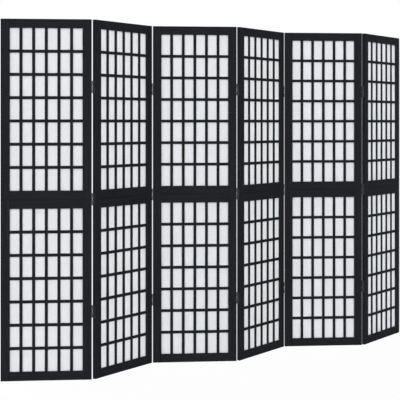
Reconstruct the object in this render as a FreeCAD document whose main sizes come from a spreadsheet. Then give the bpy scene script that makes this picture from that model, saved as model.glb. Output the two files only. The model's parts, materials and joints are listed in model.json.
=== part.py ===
# Six-panel folding room screen: grooved and tenoned wooden frames, a slat lattice on both sides of a
# fabric sheet, and rolled butt hinges with their pins on alternate faces.
# Lengths are millimetres and angles degrees. +X runs along the screen, +Y points away from the front,
# +Z is up, and the origin is the middle of the half-folded screen at floor level.
import FreeCAD
import Part
import Sketcher

import math
import os

# Driving sizes
sizes = {
    "panel_height": 1800,
    "panel_width": 450,
    "panel_thickness": 18,
    "stile_width": 45,
    "end_rail_height": 45,
    "middle_rail_height": 90,
    "edge_break": 1,
    "tenon_length": 20,
    "tenon_thickness": 8,
    "tenon_shoulder": 8,
    "tenon_clearance": 0.1,
    "slat_width": 15,
    "slat_thickness": 2.4,
    "lattice_columns": 6,
    "lattice_rows": 7,
    "fabric_thickness": 0.4,
    "fabric_tuck": 4.5,
    "kerf_width": 1.5,
    "kerf_depth": 5,
    "hinge_height": 62,
    "hinge_inset": 337.5,
    "hinges_per_joint": 3,
    "knuckles_per_hinge": 3,
    "leaf_thickness": 1,
    "leaf_depth": 15,
    "pin_radius": 1,
    "pin_clearance": 0.05,
    "pin_overhang": 0.6,
    "pin_proud": 1.6,
    "knuckle_clearance": 0.3,
    "knuckle_gap": 0.4,
    "fold_angle": 48.5,
    "cut_overrun": 1,
}

# Sizes that follow from the driving ones, as expressions on the sheet
opening_width = "(Sizes.panel_width - 2 * Sizes.stile_width)"
opening_height = "((Sizes.panel_height - 2 * Sizes.end_rail_height - Sizes.middle_rail_height) / 2)"
tier_step = f"({opening_height} + Sizes.middle_rail_height)"
middle_rail_bottom = f"(Sizes.end_rail_height + {opening_height})"
top_rail_bottom = "(Sizes.panel_height - Sizes.end_rail_height)"
column_step = f"(({opening_width} + Sizes.slat_width) / Sizes.lattice_columns)"
row_step = f"({opening_height} / Sizes.lattice_rows)"
bore_radius = "(Sizes.pin_radius + Sizes.pin_clearance)"
knuckle_radius = "(Sizes.pin_radius + Sizes.pin_clearance + Sizes.leaf_thickness)"
knuckle_reach = f"({knuckle_radius} + Sizes.knuckle_clearance)"
knuckle_pitch = "(Sizes.hinge_height / Sizes.knuckles_per_hinge)"
hinge_step = "((Sizes.panel_height - 2 * Sizes.hinge_inset) / (Sizes.hinges_per_joint - 1))"
hinge_bottom = "(Sizes.hinge_inset - Sizes.hinge_height / 2)"

panel_count = 6
panel_numbers = range(1, panel_count + 1)
joint_numbers = range(1, panel_count)
pin_sides = 12
bore_sides = 8
up = FreeCAD.Vector(0, 0, 1)
across = FreeCAD.Vector(0, 1, 0)
half_turn = 180

doc = FreeCAD.newDocument("folding_screen")
parts = []


def make_sheet():
    sheet = doc.addObject("Spreadsheet::Sheet", "Sizes")
    for row, (alias, value) in enumerate(sizes.items(), start=1):
        sheet.set(f"A{row}", alias.replace("_", " "))
        sheet.set(f"B{row}", str(value))
        sheet.setAlias(f"B{row}", alias)
    doc.recompute()


def bind(thing, expressions):
    for path, expression in expressions.items():
        thing.setExpression(path, str(expression))


def keep(thing, label, placement):
    thing.Label = label
    thing.Placement = placement
    parts.append(thing)


def new_body(name):
    return doc.addObject("PartDesign::Body", name)


def origin_feature(body, role):
    return next(f for f in body.Origin.OriginFeatures if f.Role == role)


def new_sketch(body, name, role, offset="0"):
    # The sketch lies on one of the body's own planes, raised along that plane's normal
    sketch = body.newObject("Sketcher::SketchObject", name)
    sketch.AttachmentSupport = [(origin_feature(body, role), "")]
    sketch.MapMode = "FlatFace"
    bind(sketch, {"AttachmentOffset.Base.z": offset})
    return sketch


def add_line(sketch, start, end):
    return sketch.addGeometry(Part.LineSegment(FreeCAD.Vector(*start, 0), FreeCAD.Vector(*end, 0)))


def add_size(sketch, name, kind, references, expression):
    # The starting value only has to be non-zero: the expression sets the real one
    number = sketch.addConstraint(Sketcher.Constraint(kind, *references, 1.0))
    sketch.renameConstraint(number, name)
    bind(sketch, {f"Constraints.{name}": expression})


def add_rectangle(sketch, left, bottom, width, height):
    corners = [(0, 0), (1, 0), (1, 1), (0, 1)]
    lines = [add_line(sketch, a, b) for a, b in zip(corners, corners[1:] + corners[:1])]
    for line, following in zip(lines, lines[1:] + lines[:1]):
        sketch.addConstraint(Sketcher.Constraint("Coincident", line, 2, following, 1))
    for line in lines[0::2]:
        sketch.addConstraint(Sketcher.Constraint("Horizontal", line))
    for line in lines[1::2]:
        sketch.addConstraint(Sketcher.Constraint("Vertical", line))
    tag = f"_{lines[0]}"
    add_size(sketch, "left" + tag, "DistanceX", (-1, 1, lines[0], 1), left)
    add_size(sketch, "bottom" + tag, "DistanceY", (-1, 1, lines[0], 1), bottom)
    add_size(sketch, "width" + tag, "DistanceX", (lines[0], 1, lines[0], 2), width)
    add_size(sketch, "height" + tag, "DistanceY", (lines[1], 1, lines[1], 2), height)


def add_band(sketch, width, bottom, height):
    # A rectangle centred on the panel's middle plane
    add_rectangle(sketch, f"-({width}) / 2", bottom, width, height)


def add_pad(body, sketch, name, length):
    pad = body.newObject("PartDesign::Pad", name)
    pad.Profile = sketch
    bind(pad, {"Length": length})
    return pad


def add_pocket(body, sketch, name, length, along_normal):
    pocket = body.newObject("PartDesign::Pocket", name)
    pocket.Profile = sketch
    pocket.Reversed = along_normal
    bind(pocket, {"Length": length})
    return pocket


def add_pattern(body, originals, name, first, second=None):
    # Each direction is an axis role, a step and a count
    pattern = body.newObject("PartDesign::LinearPattern", name)
    pattern.Originals = originals
    for suffix, direction in (("", first), ("2", second)):
        if direction is None:
            continue
        role, step, count = direction
        setattr(pattern, "Direction" + suffix, (origin_feature(body, role), [""]))
        setattr(pattern, "Mode" + suffix, "Extent")
        bind(pattern, {"Length" + suffix: f"{step} * ({count} - 1)", "Occurrences" + suffix: count})
    body.Tip = pattern
    return pattern


def break_edges(body, base, name, direction):
    # Eases the long arrises of a frame member that run along the given axis
    doc.recompute()
    longest = max(edge.Length for edge in base.Shape.Edges)
    edges = []
    for index, edge in enumerate(base.Shape.Edges, start=1):
        run = edge.tangentAt(edge.FirstParameter)
        if abs(run.dot(direction)) > 0.5 and math.isclose(edge.Length, longest):
            edges.append(f"Edge{index}")
    chamfer = body.newObject("PartDesign::Chamfer", name)
    chamfer.Base = (base, edges)
    bind(chamfer, {"Size": "Sizes.edge_break"})
    return chamfer


def tenon_bands():
    # Height of each rail's tenon: lower edge and height, from the floor up
    rails = [
        ("0", "Sizes.end_rail_height"),
        (middle_rail_bottom, "Sizes.middle_rail_height"),
        (top_rail_bottom, "Sizes.end_rail_height"),
    ]
    return [
        (f"{bottom} + Sizes.tenon_shoulder", f"{height} - 2 * Sizes.tenon_shoulder")
        for bottom, height in rails
    ]


def make_stile(name, inner_face, faces_left):
    body = new_body(name)
    start = inner_face if faces_left else "0"
    section = new_sketch(body, name + "_side", "YZ_Plane", start)
    add_band(section, "Sizes.panel_thickness", "0", "Sizes.panel_height")
    blank = add_pad(body, section, name + "_blank", "Sizes.stile_width")
    break_edges(body, blank, name + "_arris", up)

    mortises = new_sketch(body, name + "_mortise_sides", "YZ_Plane", inner_face)
    for bottom, height in tenon_bands():
        clear_height = f"{height} + 2 * Sizes.tenon_clearance"
        clear_width = "Sizes.tenon_thickness + 2 * Sizes.tenon_clearance"
        add_band(mortises, clear_width, f"{bottom} - Sizes.tenon_clearance", clear_height)
    depth = "Sizes.tenon_length + Sizes.tenon_clearance"
    add_pocket(body, mortises, name + "_mortises", depth, along_normal=faces_left)

    kerfs = new_sketch(body, name + "_kerf_sides", "YZ_Plane", inner_face)
    for bottom in ("Sizes.end_rail_height", f"Sizes.end_rail_height + {tier_step}"):
        kerf_height = f"{opening_height} + 2 * Sizes.kerf_depth"
        add_band(kerfs, "Sizes.kerf_width", f"{bottom} - Sizes.kerf_depth", kerf_height)
    add_pocket(body, kerfs, name + "_kerfs", "Sizes.kerf_depth", along_normal=faces_left)
    return body


def make_rail(name, bottom, height, grooved_below, grooved_above):
    body = new_body(name)
    section = new_sketch(body, name + "_end", "YZ_Plane", "Sizes.stile_width")
    add_band(section, "Sizes.panel_thickness", bottom, height)
    blank = add_pad(body, section, name + "_blank", opening_width)
    break_edges(body, blank, name + "_arris", FreeCAD.Vector(1, 0, 0))

    tenon_start = "Sizes.stile_width - Sizes.tenon_length"
    tenon = new_sketch(body, name + "_tenon_end", "YZ_Plane", tenon_start)
    tenon_bottom = f"{bottom} + Sizes.tenon_shoulder"
    add_band(tenon, "Sizes.tenon_thickness", tenon_bottom, f"{height} - 2 * Sizes.tenon_shoulder")
    add_pad(body, tenon, name + "_tenons", f"{opening_width} + 2 * Sizes.tenon_length")

    kerfs = new_sketch(body, name + "_kerf_ends", "YZ_Plane", "Sizes.stile_width")
    cut_height = "Sizes.kerf_depth + Sizes.cut_overrun"
    if grooved_below:
        add_band(kerfs, "Sizes.kerf_width", f"{bottom} - Sizes.cut_overrun", cut_height)
    if grooved_above:
        add_band(kerfs, "Sizes.kerf_width", f"{bottom} + {height} - Sizes.kerf_depth", cut_height)
    add_pocket(body, kerfs, name + "_kerfs", opening_width, along_normal=True)
    return body


def add_front_and_back(sketch, gap, thickness, place, width, upright):
    # The same slat section on both sides of the fabric
    for inner in (gap, f"-({gap} + {thickness})"):
        if upright:
            add_rectangle(sketch, place, inner, width, thickness)
        else:
            add_rectangle(sketch, inner, place, thickness, width)


def make_lattice(name):
    # Level slats lie against the fabric and upright slats cross outside them
    level_gap = "Sizes.fabric_thickness / 2"
    upright_gap = f"{level_gap} + Sizes.slat_thickness"
    tiers = ("Z_Axis", tier_step, 2)

    uprights = new_body(name + "_uprights")
    section = new_sketch(uprights, name + "_upright_ends", "XY_Plane", "Sizes.end_rail_height")
    first_left = f"Sizes.stile_width + {column_step} - Sizes.slat_width"
    slat = ("Sizes.slat_thickness", first_left, "Sizes.slat_width")
    add_front_and_back(section, upright_gap, *slat, upright=True)
    pad = add_pad(uprights, section, name + "_upright_pair", opening_height)
    columns = ("X_Axis", column_step, "Sizes.lattice_columns - 1")
    add_pattern(uprights, [pad], name + "_upright_rows", columns, tiers)

    levels = new_body(name + "_levels")
    section = new_sketch(levels, name + "_level_ends", "YZ_Plane", "Sizes.stile_width")
    first_bottom = f"Sizes.end_rail_height + {row_step} - Sizes.slat_width / 2"
    slat = ("Sizes.slat_thickness", first_bottom, "Sizes.slat_width")
    add_front_and_back(section, level_gap, *slat, upright=False)
    pad = add_pad(levels, section, name + "_level_pair", opening_width)
    rows = ("Z_Axis", row_step, "Sizes.lattice_rows - 1")
    add_pattern(levels, [pad], name + "_level_rows", rows, tiers)

    lattice = doc.addObject("Part::Compound", name)
    lattice.Links = [uprights, levels]
    return lattice


def make_fabric(name):
    # One stretched sheet per opening, its four edges tucked into the kerfs
    sheets = []
    for tier in range(2):
        sheet = doc.addObject("Part::Box", f"{name}_sheet_{tier + 1}")
        bind(sheet, {
            "Length": f"{opening_width} + 2 * Sizes.fabric_tuck",
            "Width": "Sizes.fabric_thickness",
            "Height": f"{opening_height} + 2 * Sizes.fabric_tuck",
            "Placement.Base.x": "Sizes.stile_width - Sizes.fabric_tuck",
            "Placement.Base.y": "-Sizes.fabric_thickness / 2",
            "Placement.Base.z": f"Sizes.end_rail_height - Sizes.fabric_tuck + {tier} * {tier_step}",
        })
        sheets.append(sheet)
    fabric = doc.addObject("Part::Compound", name)
    fabric.Links = sheets
    return fabric


def make_panel(number, placement):
    name = f"panel_{number}"
    left_inner = "Sizes.stile_width"
    right_inner = "Sizes.panel_width - Sizes.stile_width"
    keep(make_stile(name + "_left_stile", left_inner, faces_left=False), name + "_left_stile", placement)
    keep(make_stile(name + "_right_stile", right_inner, faces_left=True), name + "_right_stile", placement)
    end_height = "Sizes.end_rail_height"
    rails = {
        "_bottom_rail": ("0", end_height, False, True),
        "_middle_rail": (middle_rail_bottom, "Sizes.middle_rail_height", True, True),
        "_top_rail": (top_rail_bottom, end_height, True, False),
    }
    for ending, rail in rails.items():
        keep(make_rail(name + ending, *rail), name + ending, placement)
    keep(make_lattice(name + "_lattice"), name + "_lattice", placement)
    keep(make_fabric(name + "_fabric"), name + "_fabric", placement)


def knuckle_profile(sketch):
    # The leaf's edge rolled three quarters of the way round the pin, with the strip that leads into it.
    # The pin fills the bore, which is flats round a guide circle. One flat runs on as the strip's face.
    outer = sizes["pin_radius"] + sizes["pin_clearance"] + sizes["leaf_thickness"]
    inner = sizes["pin_radius"] + sizes["pin_clearance"]
    reach = outer + sizes["knuckle_clearance"]
    corner = inner * math.tan(math.pi / bore_sides)
    bore = [(0, -inner), (corner, -inner), (inner, -corner), (inner, corner), (corner, inner),
            (-corner, inner), (-inner, corner), (-inner, -reach)]
    centre = FreeCAD.Vector()
    outside = sketch.addGeometry(Part.ArcOfCircle(Part.Circle(centre, up, outer), -math.pi / 2, math.pi))
    guide = sketch.addGeometry(Part.Circle(centre, up, inner), True)
    flats = [add_line(sketch, a, b) for a, b in zip(bore, bore[1:])]
    foot = add_line(sketch, (-inner, -reach), (-outer, -reach))
    back = add_line(sketch, (-outer, -reach), (-outer, 0))
    lip = add_line(sketch, (0, -outer), (0, -inner))
    outline = [lip, *flats, foot, back]
    for line, following in zip(outline, outline[1:]):
        sketch.addConstraint(Sketcher.Constraint("Coincident", line, 2, following, 1))
    sketch.addConstraint(Sketcher.Constraint("Coincident", back, 2, outside, 2))
    sketch.addConstraint(Sketcher.Constraint("Coincident", outside, 1, lip, 1))
    for round_edge in (outside, guide):
        sketch.addConstraint(Sketcher.Constraint("Coincident", round_edge, 3, -1, 1))
    sketch.addConstraint(Sketcher.Constraint("PointOnObject", outside, 1, -2))
    sketch.addConstraint(Sketcher.Constraint("PointOnObject", outside, 2, -1))
    for line in (lip, flats[2], flats[6], back):
        sketch.addConstraint(Sketcher.Constraint("Vertical", line))
    for line in (flats[0], flats[4], foot):
        sketch.addConstraint(Sketcher.Constraint("Horizontal", line))
    for flat in flats:
        sketch.addConstraint(Sketcher.Constraint("Tangent", flat, guide))
    for index in (1, 3, 5):
        slope = index * 2 * math.pi / bore_sides
        sketch.addConstraint(Sketcher.Constraint("Angle", flats[index], slope))
    add_size(sketch, "outer_radius", "Radius", (outside,), knuckle_radius)
    add_size(sketch, "bore_radius", "Radius", (guide,), bore_radius)
    add_size(sketch, "reach", "DistanceY", (foot, 1, -1, 1), knuckle_reach)


def make_leaves(name, first_knuckle):
    # Leaves of the hinges of one joint, about the pin's axis, with the plates on the -X side.
    # A leaf has every second knuckle of its hinge, from the first one given.
    body = new_body(name)
    plate = new_sketch(body, name + "_plate_section", "XY_Plane", hinge_bottom)
    plate_width = f"Sizes.leaf_depth - {knuckle_reach}"
    add_rectangle(plate, f"-{knuckle_radius}", "-Sizes.leaf_depth", "Sizes.leaf_thickness", plate_width)
    pads = [add_pad(body, plate, name + "_plate", "Sizes.hinge_height")]
    for index in range(first_knuckle, sizes["knuckles_per_hinge"], 2):
        lift = f"{hinge_bottom} + {index} * {knuckle_pitch} + Sizes.knuckle_gap / 2"
        curl = new_sketch(body, f"{name}_curl_{index}", "XY_Plane", lift)
        knuckle_profile(curl)
        pads.append(add_pad(body, curl, f"{name}_knuckle_{index}", f"{knuckle_pitch} - Sizes.knuckle_gap"))
    add_pattern(body, pads, name + "_set", ("Z_Axis", hinge_step, "Sizes.hinges_per_joint"))
    return body


def make_pins(name):
    pins = []
    for index in range(sizes["hinges_per_joint"]):
        pin = doc.addObject("Part::Prism", f"{name}_{index + 1}")
        pin.Polygon = pin_sides
        bind(pin, {
            "Circumradius": "Sizes.pin_radius",
            "Height": "Sizes.hinge_height + 2 * Sizes.pin_overhang",
            "Placement.Base.z": f"{hinge_bottom} - Sizes.pin_overhang + {index} * {hinge_step}",
        })
        pins.append(pin)
    group = doc.addObject("Part::Compound", name)
    group.Links = pins
    return group


def make_joint(number, pin_point, left_heading, right_heading):
    # Odd joints have their pins on the back face and even ones on the front face
    name = f"hinge_{number}"
    on_back = number % 2 == 1
    turned = 0 if on_back else half_turn
    single, double = ("left", "right") if on_back else ("right", "left")
    heading = {"left": left_heading + turned, "right": right_heading + turned}

    leaves = make_leaves(f"{name}_{single}_leaves", first_knuckle=1)
    place = FreeCAD.Placement(pin_point, FreeCAD.Rotation(up, heading[single]))
    keep(leaves, f"{name}_{single}_leaves", place)

    # The matching leaf is turned over, so that its plate lies on the other side of the pin
    leaves = make_leaves(f"{name}_{double}_leaves", first_knuckle=0)
    over = FreeCAD.Rotation(up, heading[double]).multiply(FreeCAD.Rotation(across, half_turn))
    top = pin_point + up * sizes["panel_height"]
    keep(leaves, f"{name}_{double}_leaves", FreeCAD.Placement(top, over))

    keep(make_pins(name + "_pins"), name + "_pins", FreeCAD.Placement(pin_point, FreeCAD.Rotation()))


def panel_heading(number):
    half_fold = sizes["fold_angle"] / 2
    return -half_fold if number % 2 == 1 else half_fold


def plan_layout():
    # Walks along the screen from pin to pin, then centres its plan on the origin
    width, thickness = sizes["panel_width"], sizes["panel_thickness"]
    half_gap = sizes["pin_radius"] + sizes["pin_clearance"] + sizes["leaf_thickness"]
    pin_out = thickness / 2 + sizes["pin_proud"]
    starts, pins, corners = [], [], []
    start = FreeCAD.Vector()
    for number in panel_numbers:
        turn = FreeCAD.Rotation(up, panel_heading(number))
        starts.append(start)
        for along in (0, width):
            for side in (-thickness / 2, thickness / 2):
                corners.append(start + turn.multVec(FreeCAD.Vector(along, side, 0)))
        side = pin_out if number % 2 == 1 else -pin_out
        pin = start + turn.multVec(FreeCAD.Vector(width + half_gap, side, 0))
        pins.append(pin)
        following = FreeCAD.Rotation(up, panel_heading(number + 1))
        start = pin - following.multVec(FreeCAD.Vector(-half_gap, side, 0))
    xs = [corner.x for corner in corners]
    ys = [corner.y for corner in corners]
    middle = FreeCAD.Vector((min(xs) + max(xs)) / 2, (min(ys) + max(ys)) / 2, 0)
    return [point - middle for point in starts], [point - middle for point in pins]


def check_document():
    for thing in doc.Objects:
        if "Invalid" in thing.State or "Error" in thing.State:
            raise RuntimeError(f"{thing.Name} failed: {thing.State}")
        if thing.TypeId == "PartDesign::Pocket" and thing.Shape.Volume >= thing.BaseFeature.Shape.Volume:
            raise RuntimeError(f"{thing.Name} cuts nothing")
    for part in parts:
        if part.Shape.isNull() or not part.Shape.isValid():
            raise RuntimeError(f"{part.Label} has no valid shape")


def write_parts():
    os.makedirs("parts", exist_ok=True)
    for part in parts:
        part.Shape.exportStep(f"parts/{part.Label}.step")
        print(part.Label, len(part.Shape.Solids), "solids", round(part.Shape.Volume), "mm3")


make_sheet()
panel_starts, joint_pins = plan_layout()
for panel_number, panel_start in zip(panel_numbers, panel_starts):
    turn = FreeCAD.Rotation(up, panel_heading(panel_number))
    make_panel(panel_number, FreeCAD.Placement(panel_start, turn))
for joint_number, joint_pin in zip(joint_numbers, joint_pins):
    make_joint(joint_number, joint_pin, panel_heading(joint_number), panel_heading(joint_number + 1))
doc.recompute()
check_document()
write_parts()
for joint_number, joint_pin in zip(joint_numbers, joint_pins):
    print(f"joint {joint_number} pin at", round(joint_pin.x, 3), round(joint_pin.y, 3))
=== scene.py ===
import json
import math

import bmesh
import bpy
from mathutils import Matrix, Vector, noise

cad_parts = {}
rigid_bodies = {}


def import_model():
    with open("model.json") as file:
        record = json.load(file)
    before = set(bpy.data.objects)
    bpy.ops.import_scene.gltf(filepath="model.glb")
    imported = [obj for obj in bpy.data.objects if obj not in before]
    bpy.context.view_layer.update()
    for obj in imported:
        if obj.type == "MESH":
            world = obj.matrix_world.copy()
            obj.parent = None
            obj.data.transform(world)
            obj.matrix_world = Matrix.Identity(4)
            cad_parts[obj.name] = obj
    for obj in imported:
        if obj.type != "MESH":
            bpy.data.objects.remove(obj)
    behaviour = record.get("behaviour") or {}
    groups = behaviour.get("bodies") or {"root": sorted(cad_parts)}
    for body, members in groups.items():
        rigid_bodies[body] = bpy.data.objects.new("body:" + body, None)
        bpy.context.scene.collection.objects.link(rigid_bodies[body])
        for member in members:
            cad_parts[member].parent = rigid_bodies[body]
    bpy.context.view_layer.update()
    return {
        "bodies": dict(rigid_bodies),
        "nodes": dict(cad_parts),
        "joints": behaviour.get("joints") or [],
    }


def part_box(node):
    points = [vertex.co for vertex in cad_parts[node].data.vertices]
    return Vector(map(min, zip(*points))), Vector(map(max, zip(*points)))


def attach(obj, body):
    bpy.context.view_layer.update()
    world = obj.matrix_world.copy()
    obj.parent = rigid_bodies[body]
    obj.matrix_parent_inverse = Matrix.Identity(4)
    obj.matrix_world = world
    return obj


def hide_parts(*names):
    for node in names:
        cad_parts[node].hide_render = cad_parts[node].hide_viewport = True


# Six-panel folding screen: black painted frames and slats, woven white sheets, plated hinges
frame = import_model()
nodes = frame["nodes"]
joints = frame["joints"]
panelNumbers = range(1, len(frame["bodies"]) + 1)
jointNumbers = range(1, len(joints) + 1)
restFold = math.radians(-joints[0]["range_deg"][0])  # each joint's fold, from panels in line


def panelAxes(number):
    # x along the panel, y from its front to its back, z up, from the middle of its foot
    low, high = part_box(f"panel_{number}_top_rail")
    turn = restFold / 2 if number % 2 == 0 else -restFold / 2
    middle = (low + high) / 2
    return Matrix.Translation((middle.x, middle.y, 0)) @ Matrix.Rotation(turn, 4, "Z")


def ownBox(nodeName, axes):
    # lowest and highest corner of a CAD node in a panel's own axes
    toPanel = axes.inverted()
    points = [toPanel @ vertex.co for vertex in nodes[nodeName].data.vertices]
    return Vector([min(row) for row in zip(*points)]), Vector([max(row) for row in zip(*points)])


def newPiece(name, bm, material):
    mesh = bpy.data.meshes.new(name)
    bm.to_mesh(mesh)
    bm.free()
    mesh.materials.append(material)
    piece = bpy.data.objects.new(name, mesh)
    bpy.context.scene.collection.objects.link(piece)
    return piece


class Wire:
    # one socket of a shader tree: sums and products of wires add Math nodes
    def __init__(self, tree, socket=None):
        self.tree = tree
        self.socket = socket

    def feed(self, node, inputs):
        for name, value in inputs.items():
            if isinstance(value, Wire):
                self.tree.links.new(value.socket, node.inputs[name])
            else:
                node.inputs[name].default_value = value

    def node(self, kind, settings, inputs, output=0):
        # any node: its settings first, then the values or wires of its sockets
        made = self.tree.nodes.new("ShaderNode" + kind)
        for name, value in settings.items():
            setattr(made, name, value)
        self.feed(made, inputs)
        return Wire(self.tree, made.outputs[output])

    def maths(self, operation, *values):
        return self.node("Math", {"operation": operation}, dict(enumerate(values)))

    def mixed(self, first, second):
        # a colour between two colours or wires, by this wire
        pair = [end if isinstance(end, Wire) else (*end, 1) for end in (first, second)]
        return self.node("Mix", {"data_type": "RGBA"}, {0: self, 6: pair[0], 7: pair[1]}, 2)

    def axis(self, letter):
        return self.node("SeparateXYZ", {}, {0: self}, letter)

    def clamped(self):
        return self.node("Clamp", {}, {0: self})

    def __add__(self, other):
        return self.maths("ADD", self, other)

    __radd__ = __add__

    def __sub__(self, other):
        return self.maths("SUBTRACT", self, other)

    def __rsub__(self, other):
        return self.maths("SUBTRACT", other, self)

    def __mul__(self, other):
        return self.maths("MULTIPLY", self, other)

    __rmul__ = __mul__

    def __truediv__(self, other):
        return self.maths("DIVIDE", self, other)

    def __gt__(self, other):
        return self.maths("GREATER_THAN", self, other)

    def __lt__(self, other):
        return self.maths("LESS_THAN", self, other)

    def __abs__(self):
        return self.maths("ABSOLUTE", self)


def newMaterial(name):
    material = bpy.data.materials.new(name)
    material.use_nodes = True
    return material, Wire(material.node_tree), material.node_tree.nodes["Principled BSDF"]


def panelCoordinates(wire, axes):
    # where a point lies in its own panel's axes
    toPanel = axes.inverted()
    placed = {
        "Vector": wire.node("TexCoord", {}, {}, "Object"),
        "Location": toPanel.translation,
        "Rotation": toPanel.to_euler(),
    }
    place = wire.node("Mapping", {"vector_type": "POINT"}, placed)
    return place.axis("X"), place.axis("Y"), place.axis("Z")


def noiseAt(wire, x, y, z, detail, roughness=0.5):
    space = wire.node("CombineXYZ", {}, {0: x, 1: y, 2: z})
    settings = {"Vector": space, "Scale": 1, "Detail": detail, "Roughness": roughness}
    return wire.node("TexNoise", {}, settings)


def spreadOut(tone, contrast):
    # a 0 to 1 tone with more contrast about its middle
    return (tone - 0.5) * contrast + 0.5


# Black paint over wood: brush-thin, so the grain still shows in it
blackPaint = {
    "dark": (0.0068, 0.0071, 0.0088),
    "light": (0.0271, 0.0284, 0.0328),
    "specular": 0.004,
    "roughness": 0.46,
    "roughnessSpread": 0.3,
    "fibreWidth": 0.0009,
    "fibreRun": 0.05,
    "fibreDetail": 3,
    "fibreRaggedness": 0.6,
    "fibreContrast": 2.4,
    "fibreTone": 0.4,
    "fibreRelief": 0.65,
    "ringStep": 0.0075,
    "ringWander": 4,
    "ringTone": 0.3,
    "ringRelief": 0.35,
    "streakWidth": 0.022,
    "streakRun": 0.35,
    "streakDetail": 2,
    "streakTone": 0.3,
    "grainDepth": 0.0003,
    "grainStrength": 0.7,
    "rubWidth": 0.0016,
    "rubPatch": 0.03,
    "rubDetail": 4,
    "rubRaggedness": 0.7,
    "rubGain": 2,
    "rubSpared": 0.6,
    "rubRoughness": 0.1,
    "rubbed": (0.05, 0.049, 0.049),
    # the seam line is painted shade in the groove between the two halves
    "seamShadeWidth": 0.0011,
    "seamShadeCore": 2,
    "seamShadeColour": (0.0015, 0.0015, 0.002),
    "nextBoard": 0.4,
}


def grainedPaint(wire, x, y, z, upright):
    # the grain runs up in upright members and along the panel in level ones
    look = blackPaint
    across = x * upright + z * (1 - upright)
    along = z * upright + x * (1 - upright)
    width, run = look["fibreWidth"], look["fibreRun"]
    fibres = noiseAt(wire, across / width, y / width, along / run,
                     look["fibreDetail"], look["fibreRaggedness"])
    fibres = spreadOut(fibres, look["fibreContrast"]).clamped()
    width, run = look["streakWidth"], look["streakRun"]
    streaks = noiseAt(wire, across / width, y / width, along / run, look["streakDetail"])
    turns = (across / look["ringStep"] + streaks * look["ringWander"]) * (2 * math.pi)
    rings = wire.maths("SINE", turns) * 0.5 + 0.5
    tone = fibres * look["fibreTone"] + rings * look["ringTone"] + streaks * look["streakTone"]
    relief = fibres * look["fibreRelief"] + rings * look["ringRelief"]
    roughness = look["roughness"] + (relief - 0.5) * look["roughnessSpread"]
    grain = {"Height": relief, "Strength": look["grainStrength"], "Distance": look["grainDepth"]}
    paint = tone.mixed(look["dark"], look["light"])
    return paint, roughness, wire.node("Bump", {}, grain)


def framePaint(number):
    look = blackPaint
    material, wire, shader = newMaterial(f"blackFrame{number}")
    axes = panelAxes(number)
    x, y, z = panelCoordinates(wire, axes)
    stileBox = ownBox(f"panel_{number}_left_stile", axes)
    halfWidth, halfOpening = -stileBox[0].x, -stileBox[1].x
    halfHeight, halfThickness = stileBox[1].z / 2, stileBox[1].y
    railTop = ownBox(f"panel_{number}_middle_rail", axes)[1].z - halfHeight
    openTop = halfHeight - ownBox(f"panel_{number}_bottom_rail", axes)[1].z
    tierMiddle, tierReach = (openTop + railTop) / 2, (openTop - railTop) / 2

    # the two halves come from different boards, and the groove between them gets a near-black line
    # of painted shade
    fromMiddle = abs(z - halfHeight)
    seamShade = ((1 - fromMiddle * 2 / look["seamShadeWidth"]) * look["seamShadeCore"]).clamped()
    board = y + (z > halfHeight) * look["nextBoard"]
    paint, roughness, bump = grainedPaint(wire, x, board, z, abs(x) > halfOpening)

    # paint rubs a little thin along the arrises
    pastSides = abs(x) - halfOpening
    pastEnds = abs(fromMiddle - tierMiddle) - tierReach
    pastOpening = wire.maths("MAXIMUM", pastSides, pastEnds)
    fromOutside = wire.maths("MINIMUM", halfWidth - abs(x), halfHeight - fromMiddle)
    fromArris = wire.maths("MINIMUM", pastOpening, fromOutside) + (halfThickness - abs(y))
    patch = look["rubPatch"]
    patches = noiseAt(wire, x / patch, y / patch, z / patch,
                      look["rubDetail"], look["rubRaggedness"])
    nearArris = (1 - fromArris / look["rubWidth"]).clamped()
    rub = (nearArris * (patches * look["rubGain"] - look["rubSpared"])).clamped()
    worn = rub.mixed(paint, look["rubbed"])
    wire.feed(shader, {
        "Base Color": seamShade.mixed(worn, look["seamShadeColour"]),
        "Roughness": roughness + rub * look["rubRoughness"],
        "Normal": bump,
        "Specular IOR Level": look["specular"],
    })
    return material


# White polyester in plain weave, thin enough for light to come through
whiteWeave = {
    # the hollow tone is painted shade between the yarns; crown is the yarn's own white
    "hollowShade": (0.718, 0.722, 0.741),
    "crown": (0.893, 0.897, 0.914),
    "yarnPitch": 0.0008,
    "slubRun": 0.025,
    "slubDetail": 2,
    "slubContrast": 2,
    "slubShare": 0.4,
    "bandWidth": 0.006,
    "bandRun": 1.5,
    "bandDetail": 1,
    "bandShare": 0.3,
    "weaveDepth": 0.0002,
    "weaveStrength": 0.6,
    "roughness": 0.85,
    "specular": 0.2,
    "sheen": 0.1,
    "throughShare": 0.5,
    "throughColour": (0.876, 0.881, 0.899, 1),
}


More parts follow.
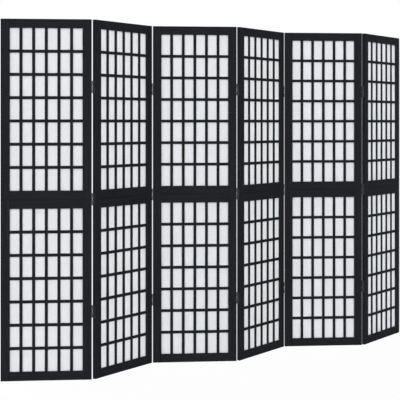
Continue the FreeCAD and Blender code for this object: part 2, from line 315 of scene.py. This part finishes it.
def weavePaint(number):
    look = whiteWeave
    material, wire, shader = newMaterial(f"whiteWeave{number}")
    x, y, z = panelCoordinates(wire, panelAxes(number))
    pitch, run = look["yarnPitch"], look["slubRun"]
    warpWave = wire.maths("SINE", x * (math.pi / pitch))
    weftWave = wire.maths("SINE", z * (math.pi / pitch))
    crossing = warpWave * weftWave
    warp, weft = abs(warpWave) + crossing, abs(weftWave) - crossing
    weave = wire.maths("MAXIMUM", warp, weft) * 0.5

    # thick places along the yarns, and warp drawn unevenly
    warpSlubs = noiseAt(wire, x / pitch, y, z / run, look["slubDetail"])
    weftSlubs = noiseAt(wire, x / run, y, z / pitch, look["slubDetail"])
    slubs = spreadOut((warpSlubs + weftSlubs) * 0.5, look["slubContrast"])
    bands = noiseAt(wire, x / look["bandWidth"], y, z / look["bandRun"], look["bandDetail"])
    # the weave term paints shade into the hollows between yarns; slubs and bands are the yarn's own
    # uneven tone
    crownness = weave * (1 - look["slubShare"]) + slubs * look["slubShare"]
    crownness = (crownness + (bands - 0.5) * look["bandShare"]).clamped()
    yarns = {"Height": weave, "Strength": look["weaveStrength"], "Distance": look["weaveDepth"]}
    wire.feed(shader, {
        "Base Color": crownness.mixed(look["hollowShade"], look["crown"]),
        "Roughness": look["roughness"],
        "Specular IOR Level": look["specular"],
        "Sheen Weight": look["sheen"],
        "Normal": wire.node("Bump", {}, yarns),
    })
    front = Wire(wire.tree, shader.outputs[0])
    through = wire.node("BsdfTranslucent", {}, {"Color": look["throughColour"]})
    cloth = wire.node("MixShader", {}, {0: look["throughShare"], 1: front, 2: through})
    wire.feed(wire.tree.nodes["Material Output"], {"Surface": cloth})
    return material


# Zinc-plated steel: soft grey, cloudy, with fine rolling marks
platedSteel = {
    "dark": (0.153, 0.155, 0.159),
    "light": (0.222, 0.224, 0.228),
    "cloud": 0.006,
    "cloudDetail": 4,
    "cloudRaggedness": 0.6,
    "cloudContrast": 1.6,
    "mark": 0.00025,
    "markRun": 0.008,
    "markDetail": 2,
    "markDepth": 0.00002,
    "markStrength": 0.3,
    "roughness": 0.34,
    "roughnessSpread": 0.2,
}


def steelPaint():
    look = platedSteel
    material, wire, shader = newMaterial("platedSteel")
    place = wire.node("TexCoord", {}, {}, "Object")
    x, y, z = place.axis("X"), place.axis("Y"), place.axis("Z")
    cloud, mark = look["cloud"], look["mark"]
    clouds = noiseAt(wire, x / cloud, y / cloud, z / cloud,
                     look["cloudDetail"], look["cloudRaggedness"])
    marks = noiseAt(wire, x / mark, y / mark, z / look["markRun"], look["markDetail"])
    grey = spreadOut(clouds, look["cloudContrast"]).clamped()
    uneven = (clouds + marks) * 0.5 - 0.5
    rolling = {"Height": marks, "Strength": look["markStrength"], "Distance": look["markDepth"]}
    wire.feed(shader, {
        "Base Color": grey.mixed(look["dark"], look["light"]),
        "Roughness": look["roughness"] + uneven * look["roughnessSpread"],
        "Metallic": 1,
        "Normal": wire.node("Bump", {}, rolling),
    })
    return material


# Arrises are softened by modifiers, widths in metres and angles in degrees
softEdge = {
    "wood": 0.0005,
    "steel": 0.00018,
    "segments": 2,
    "fromAngle": 28,
    "flatAngle": 0.5,
    "weldShare": 0.02,
}


def softenEdges(piece, width):
    weld = piece.modifiers.new("joinCorners", "WELD")
    weld.merge_threshold = width * softEdge["weldShare"]
    flat = piece.modifiers.new("joinFlats", "DECIMATE")
    flat.decimate_type = "DISSOLVE"
    flat.angle_limit = math.radians(softEdge["flatAngle"])
    bevel = piece.modifiers.new("softEdges", "BEVEL")
    bevel.width = width
    bevel.segments = softEdge["segments"]
    bevel.limit_method = "ANGLE"
    bevel.angle_limit = math.radians(softEdge["fromAngle"])
    bevel.use_clamp_overlap = True
    even = piece.modifiers.new("evenShading", "WEIGHTED_NORMAL")
    even.keep_sharp = True


# Each panel is two half-frames, one on the other: stiles and middle rail are cut at half height
halvesMake = {
    "members": ("left_stile", "right_stile", "middle_rail"),
    "gap": 0.0001,
    "mergeWithin": 0.000001,
}


def makeHalves(number, member, finish):
    name = f"panel_{number}_{member}"
    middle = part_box(f"panel_{number}_left_stile")[1].z / 2
    bm = bmesh.new()
    for side in (-1, 1):  # the lower half, then the upper one
        already = set(bm.verts)
        bm.from_mesh(nodes[name].data)
        added = [vert for vert in bm.verts if vert not in already]
        bmesh.ops.remove_doubles(bm, verts=added, dist=halvesMake["mergeWithin"])
        whole = [vert for vert in bm.verts if vert not in already]
        whole += [edge for edge in bm.edges if edge.verts[0] not in already]
        whole += [face for face in bm.faces if face.verts[0] not in already]
        level = middle + side * halvesMake["gap"] / 2
        cut = bmesh.ops.bisect_plane(bm, geom=whole, plane_co=(0, 0, level),
                                     plane_no=(0, 0, side), clear_inner=True)["geom_cut"]
        rim = [part for part in cut if isinstance(part, bmesh.types.BMEdge)]
        bmesh.ops.edgeloop_fill(bm, edges=rim)
    bmesh.ops.recalc_face_normals(bm, faces=bm.faces)
    halves = newPiece(f"{name}_halves", bm, finish)
    softenEdges(halves, softEdge["wood"])
    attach(halves, f"panel_{number}")
    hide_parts(name)


steel = steelPaint()
for number in panelNumbers:
    frameFinish = framePaint(number)
    for member in ("bottom_rail", "top_rail"):
        piece = nodes[f"panel_{number}_{member}"]
        piece.material_slots[0].material = frameFinish
        softenEdges(piece, softEdge["wood"])
    for member in halvesMake["members"]:
        makeHalves(number, member, frameFinish)
for number in jointNumbers:
    for member in ("left_leaves", "right_leaves", "pins"):
        piece = nodes[f"hinge_{number}_{member}"]
        piece.material_slots[0].material = steel
        softenEdges(piece, softEdge["steel"])
print("frames and hinges finished")

# Lattice slats, halved over each other so that they finish flush
slatMake = {
    "width": 0.015,
    "columns": 6,
    "rows": 7,
    "columnStep": 0.0625,
    "jointPlay": 0.00005,
    "arris": 0.0004,
    "arrisSegments": 2,
    "tolerance": 0.000001,
}


def slatPaint(number):
    material, wire, shader = newMaterial(f"blackSlats{number}")
    x, y, z = panelCoordinates(wire, panelAxes(number))
    fromUpright = wire.maths("PINGPONG", x, slatMake["columnStep"] / 2)  # to its middle
    upright = slatMake["width"] / 2 > fromUpright
    paint, roughness, bump = grainedPaint(wire, x, y, z, upright)
    wire.feed(shader, {
        "Base Color": paint,
        "Roughness": roughness,
        "Normal": bump,
        "Specular IOR Level": blackPaint["specular"],
    })
    return material


def slatMaster(length, crossings, notchedOutside, inner, outer):
    # one slat drawn from its side, x along it and y out from the cloth, then grown to its width
    width, near = slatMake["width"], slatMake["tolerance"]
    half, middle = width / 2 + slatMake["jointPlay"], (inner + outer) / 2
    whole, notched = (inner, outer) if notchedOutside else (outer, inner)
    outline = [(0, whole), (length, whole), (length, notched)]
    for place in reversed(crossings):
        low, high = place - half, place + half
        outline += [(high, notched), (high, middle), (low, middle), (low, notched)]
    outline.append((0, notched))
    bm = bmesh.new()
    side = bm.faces.new([bm.verts.new((*point, 0)) for point in outline])
    grown = bmesh.ops.extrude_face_region(bm, geom=[side])["geom"]
    far = [part for part in grown if isinstance(part, bmesh.types.BMVert)]
    bmesh.ops.translate(bm, vec=(0, 0, width), verts=far)
    bmesh.ops.translate(bm, vec=(0, 0, -width / 2), verts=bm.verts)
    bmesh.ops.recalc_face_normals(bm, faces=bm.faces)

    # the arrises of the outer face, but not its two ends
    arrises = []
    for edge in bm.edges:
        first, second = (vert.co for vert in edge.verts)
        onFace = max(abs(first.y - outer), abs(second.y - outer)) < near
        along = (first.x + second.x) / 2
        if onFace and near < along < length - near:
            arrises.append(edge)
    bmesh.ops.bevel(bm, geom=arrises, offset=slatMake["arris"], offset_type="OFFSET",
                    affect="EDGES", segments=slatMake["arrisSegments"], profile=0.5, material=-1)
    for face in bm.faces:
        face.smooth = True
    mesh = bpy.data.meshes.new("slat")
    bm.to_mesh(mesh)
    bm.free()
    return mesh


def stampSlat(bm, master, place):
    already = len(bm.verts)
    bm.from_mesh(master)
    bm.verts.ensure_lookup_table()
    bmesh.ops.transform(bm, matrix=place, verts=bm.verts[already:])


def makeSlats(number):
    axes = panelAxes(number)
    lattice = ownBox(f"panel_{number}_lattice", axes)
    middleRail = ownBox(f"panel_{number}_middle_rail", axes)
    inner, outer = ownBox(f"panel_{number}_fabric", axes)[1].y, lattice[1].y
    width, height = lattice[1].x - lattice[0].x, middleRail[0].z - lattice[0].z
    columnCount, rowCount = slatMake["columns"], slatMake["rows"]
    columns = [slatMake["columnStep"] * (k - columnCount / 2) for k in range(1, columnCount)]
    rows = [height * k / rowCount for k in range(1, rowCount)]
    uprightMaster = slatMaster(height, rows, False, inner, outer)
    crossings = [column + width / 2 for column in columns]
    levelMaster = slatMaster(width, crossings, True, inner, outer)
    rising = Matrix(((0, 0, 1), (0, -1, 0), (1, 0, 0))).transposed().to_4x4()
    lying = Matrix(((1, 0, 0), (0, -1, 0), (0, 0, -1))).transposed().to_4x4()
    bm = bmesh.new()
    for foot in (lattice[0].z, middleRail[1].z):
        for turn in (0, math.pi):  # front, then back
            lift = Matrix.Translation((0, 0, foot))
            opening = axes @ lift @ Matrix.Rotation(turn, 4, "Z")
            for column in columns:
                aside = Matrix.Translation((column, 0, 0))
                stampSlat(bm, uprightMaster, opening @ aside @ rising)
            for row in rows:
                start = Matrix.Translation((-width / 2, 0, row))
                stampSlat(bm, levelMaster, opening @ start @ lying)
    bpy.data.meshes.remove(uprightMaster)
    bpy.data.meshes.remove(levelMaster)
    slats = newPiece(f"panel_{number}_slats", bm, slatPaint(number))
    slats.modifiers.new("evenShading", "WEIGHTED_NORMAL")
    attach(slats, f"panel_{number}")
    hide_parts(f"panel_{number}_lattice")


for number in panelNumbers:
    makeSlats(number)
print("slats halved together")

# Stretched sheets: held flat at the frame and the level slats, with a slight belly between them
sheetMake = {
    "thickness": 0.0004,
    "across": 36,
    "up": 84,
    "belly": 0.0009,
    "slatShare": 0.065,
    "edgePower": 4,
    "waveLength": 0.11,
    "rowSeed": 1.7,
    "panelSeed": 3.1,
    "lowerSeed": 0.5,
}


def bellyAt(x, z, halfWidth, low, rowHeight, seed):
    row = (z - low) / rowHeight
    part = row - math.floor(row)
    held = math.sin(math.pi * sheetMake["slatShare"])
    between = max(0, (math.sin(math.pi * part) - held) / (1 - held))
    towardsEdge = max(0, 1 - (x / halfWidth) ** sheetMake["edgePower"])
    place = (x / sheetMake["waveLength"], math.floor(row) * sheetMake["rowSeed"], seed)
    return sheetMake["belly"] * between * towardsEdge * noise.noise(Vector(place))


def makeSheet(number, tier, material):
    axes = panelAxes(number)
    under, over = ("bottom_rail", "middle_rail") if tier == "lower" else ("middle_rail", "top_rail")
    measured = ("fabric", "bottom_rail", "middle_rail", "top_rail", "left_stile")
    members = {name: ownBox(f"panel_{number}_{name}", axes) for name in measured}
    cloth = members["fabric"]
    tuck = members["bottom_rail"][1].z - cloth[0].z
    openLow, openHigh = members[under][1].z, members[over][0].z
    width, height = cloth[1].x - cloth[0].x, openHigh - openLow + 2 * tuck
    rowHeight = (openHigh - openLow) / slatMake["rows"]
    halfOpening = -members["left_stile"][1].x
    seed = number * sheetMake["panelSeed"] + (sheetMake["lowerSeed"] if tier == "lower" else 0)

    bm = bmesh.new()
    bmesh.ops.create_grid(bm, x_segments=sheetMake["across"], y_segments=sheetMake["up"], size=0.5)
    bmesh.ops.scale(bm, vec=(width, height, 1), verts=bm.verts)
    bmesh.ops.rotate(bm, matrix=Matrix.Rotation(math.pi / 2, 3, "X"), verts=bm.verts)
    bmesh.ops.translate(bm, vec=(0, 0, (openLow + openHigh) / 2), verts=bm.verts)
    for vert in bm.verts:
        if openLow < vert.co.z < openHigh:
            vert.co.y += bellyAt(vert.co.x, vert.co.z, halfOpening, openLow, rowHeight, seed)
    bmesh.ops.transform(bm, matrix=axes, verts=bm.verts)
    for face in bm.faces:
        face.smooth = True
    sheet = newPiece(f"panel_{number}_{tier}_sheet", bm, material)
    thicken = sheet.modifiers.new("clothThickness", "SOLIDIFY")
    thicken.thickness = sheetMake["thickness"]
    thicken.offset = 0
    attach(sheet, f"panel_{number}")
    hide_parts(f"panel_{number}_fabric")


for number in panelNumbers:
    weave = weavePaint(number)
    for tier in ("lower", "upper"):
        makeSheet(number, tier, weave)
print("sheets stretched")

# Hinge screws: raised heads with a cross recess, two to a leaf
screwMake = {
    "headRadius": 0.0027,
    "crownRadius": 0.0019,
    "crownRise": 0.00055,
    "rimRise": 0.0003,
    "rimEdgeShare": 0.6,
    "sunk": 0.00005,
    "crossReach": 0.00125,
    "crossWidth": 0.0005,
    "crossDepth": 0.00045,
    "crossTaperShare": 1 / 12,
    "leafThickness": 0.001,
    "leafHeight": 0.062,
    "plateWidth": 0.01265,
    "apart": 0.036,
}


def addScrewHead(bm, place):
    # a five by five grid: its rim goes round, and the plus in its middle sinks in
    reach, half = screwMake["crossReach"], screwMake["crossWidth"] / 2
    crown, head = screwMake["crownRadius"], screwMake["headRadius"]
    top, rimRise = screwMake["crownRise"], screwMake["rimRise"]
    lines = (-crown, -reach, -half, half, reach, crown)
    steps = len(lines) - 1
    verts = bmesh.ops.create_grid(bm, x_segments=steps, y_segments=steps, size=1)["verts"]
    cells = list(dict.fromkeys(face for vert in verts for face in vert.link_faces))
    plus = []
    for face in cells:
        short, long = sorted(abs(value) for value in face.calc_center_median()[:2])
        if short < 1 / steps and long < 3 / steps:
            plus.append(face)
    for vert in verts:
        column, row = (round((value + 1) / 2 * steps) for value in vert.co[:2])
        if vert.is_boundary:
            vert.co = vert.co.normalized() * crown
        else:
            vert.co = Vector((lines[column], lines[row], 0))
        vert.co.z = top - (top - rimRise) * (vert.co.to_2d().length / head) ** 2
    rim = [edge for face in cells for edge in face.edges if edge.is_boundary]
    taper = screwMake["crossWidth"] * screwMake["crossTaperShare"]
    walls = bmesh.ops.inset_region(bm, faces=plus, thickness=taper,
                                   depth=-screwMake["crossDepth"])["faces"]
    made = set(verts) | {vert for face in walls + plus for vert in face.verts}
    for rise in (rimRise * screwMake["rimEdgeShare"], -screwMake["sunk"]):
        grown = bmesh.ops.extrude_edge_only(bm, edges=rim)["geom"]
        rim = [part for part in grown if isinstance(part, bmesh.types.BMEdge) and part.is_boundary]
        ring = [part for part in grown if isinstance(part, bmesh.types.BMVert)]
        for vert in ring:
            vert.co = (*(vert.co.to_2d().normalized() * head), rise)
        made.update(ring)
    bmesh.ops.edgeloop_fill(bm, edges=rim)
    bmesh.ops.transform(bm, matrix=place, verts=list(made))


def makeScrews(number, side):
    panel = number if side == "left" else number + 1
    axes = panelAxes(panel)
    low, high = ownBox(f"hinge_{number}_{side}_leaves", axes)
    pinBox = ownBox(f"hinge_{number}_pins", axes)
    pinBehind = (pinBox[0].y + pinBox[1].y) / 2 > (low.y + high.y) / 2
    half, thickness = screwMake["plateWidth"] / 2, screwMake["leafThickness"]
    depth = low.y + half if pinBehind else high.y - half
    facing = 1 if side == "left" else -1  # the way the heads point along the panel
    face = low.x + thickness if side == "left" else high.x - thickness
    outward = Matrix.Rotation(facing * math.pi / 2, 4, "Y")
    ends = (low.z + screwMake["leafHeight"] / 2, high.z - screwMake["leafHeight"] / 2)
    bm = bmesh.new()
    for middle in (ends[0], sum(ends) / 2, ends[1]):
        for lift in (-screwMake["apart"] / 2, screwMake["apart"] / 2):
            spot = Matrix.Translation((face, depth, middle + lift))
            addScrewHead(bm, axes @ spot @ outward)
    bmesh.ops.recalc_face_normals(bm, faces=bm.faces)
    screws = newPiece(f"hinge_{number}_{side}_screws", bm, steel)
    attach(screws, f"panel_{panel}")


for number in jointNumbers:
    for side in ("left", "right"):
        makeScrews(number, side)
print("screws driven")

# White studio: pale floor, a little light from all round, soft lamps at the front and the back
studio = {
    "floorReach": 40,
    "floorColour": (0.87, 0.87, 0.87, 1),
    "seenWhite": 1.02,
    "seenShare": 0.94,
    "ambient": 0.3,
    "ambientColour": (1, 1, 1, 1),
    "lampSpread": 60,
    "frontFrom": (-0.3, -0.92, 0.22),
    "frontStrength": 2.45,
    "backFrom": (-0.36, 0.9, 0.2),
    "backStrength": 2.9,
}


def seenRays(wire):
    # 1 for what the camera sees, straight or in metal and glass
    names = ("Is Camera Ray", "Is Glossy Ray", "Is Transmission Ray")
    camera, glossy, through = (wire.node("LightPath", {}, {}, name) for name in names)
    return wire.maths("MAXIMUM", wire.maths("MAXIMUM", camera, glossy), through)


def makeFloor():
    material, wire, shader = newMaterial("paleFloor")
    matt = {"Base Color": studio["floorColour"], "Roughness": 1, "Specular IOR Level": 0}
    wire.feed(shader, matt)
    white = {"Color": (1, 1, 1, 1), "Strength": studio["seenWhite"]}
    layers = {
        0: seenRays(wire) * studio["seenShare"],
        1: Wire(wire.tree, shader.outputs[0]),
        2: wire.node("Emission", {}, white),
    }
    surface = wire.node("MixShader", {}, layers)
    wire.feed(wire.tree.nodes["Material Output"], {"Surface": surface})
    bm = bmesh.new()
    bmesh.ops.create_grid(bm, x_segments=1, y_segments=1, size=studio["floorReach"])
    floor = newPiece("floor", bm, material)


def makeWorld():
    world = bpy.data.worlds.new("whiteStudio")
    world.use_nodes = True
    bpy.context.scene.world = world
    wire = Wire(world.node_tree)
    strength = studio["ambient"] + seenRays(wire) * (1 - studio["ambient"])
    glow = {"Color": studio["ambientColour"], "Strength": strength}
    wire.feed(world.node_tree.nodes["Background"], glow)


def makeLamp(name, comesFrom, strength):
    light = bpy.data.lights.new(name, "SUN")
    light.angle = math.radians(studio["lampSpread"])
    light.energy = strength
    lamp = bpy.data.objects.new(name, light)
    lamp.rotation_euler = Vector(comesFrom).to_track_quat("Z", "Y").to_euler()
    bpy.context.scene.collection.objects.link(lamp)


# Level camera, turned to the screen's near end, with the lens shifted down
viewpoint = {
    "place": (-2.9652, -4.9843, 1.283),
    "turn": -29.2005,
    "lens": 95.376,
    "sensor": 36,
    "shift": -0.19307,
    "clipEnd": 120,
}


def makeCamera():
    camera = bpy.data.cameras.new("photoCamera")
    camera.sensor_width = viewpoint["sensor"]
    camera.lens = viewpoint["lens"]
    camera.shift_y = viewpoint["shift"]
    camera.clip_end = viewpoint["clipEnd"]
    holder = bpy.data.objects.new("photoCamera", camera)
    holder.location = viewpoint["place"]
    holder.rotation_euler = (math.pi / 2, 0, math.radians(viewpoint["turn"]))
    bpy.context.scene.collection.objects.link(holder)
    bpy.context.scene.camera = holder


makeFloor()
makeWorld()
makeLamp("frontLamp", studio["frontFrom"], studio["frontStrength"])
makeLamp("backLamp", studio["backFrom"], studio["backStrength"])
makeCamera()
bpy.context.scene.view_settings.view_transform = "Standard"
print("studio set")
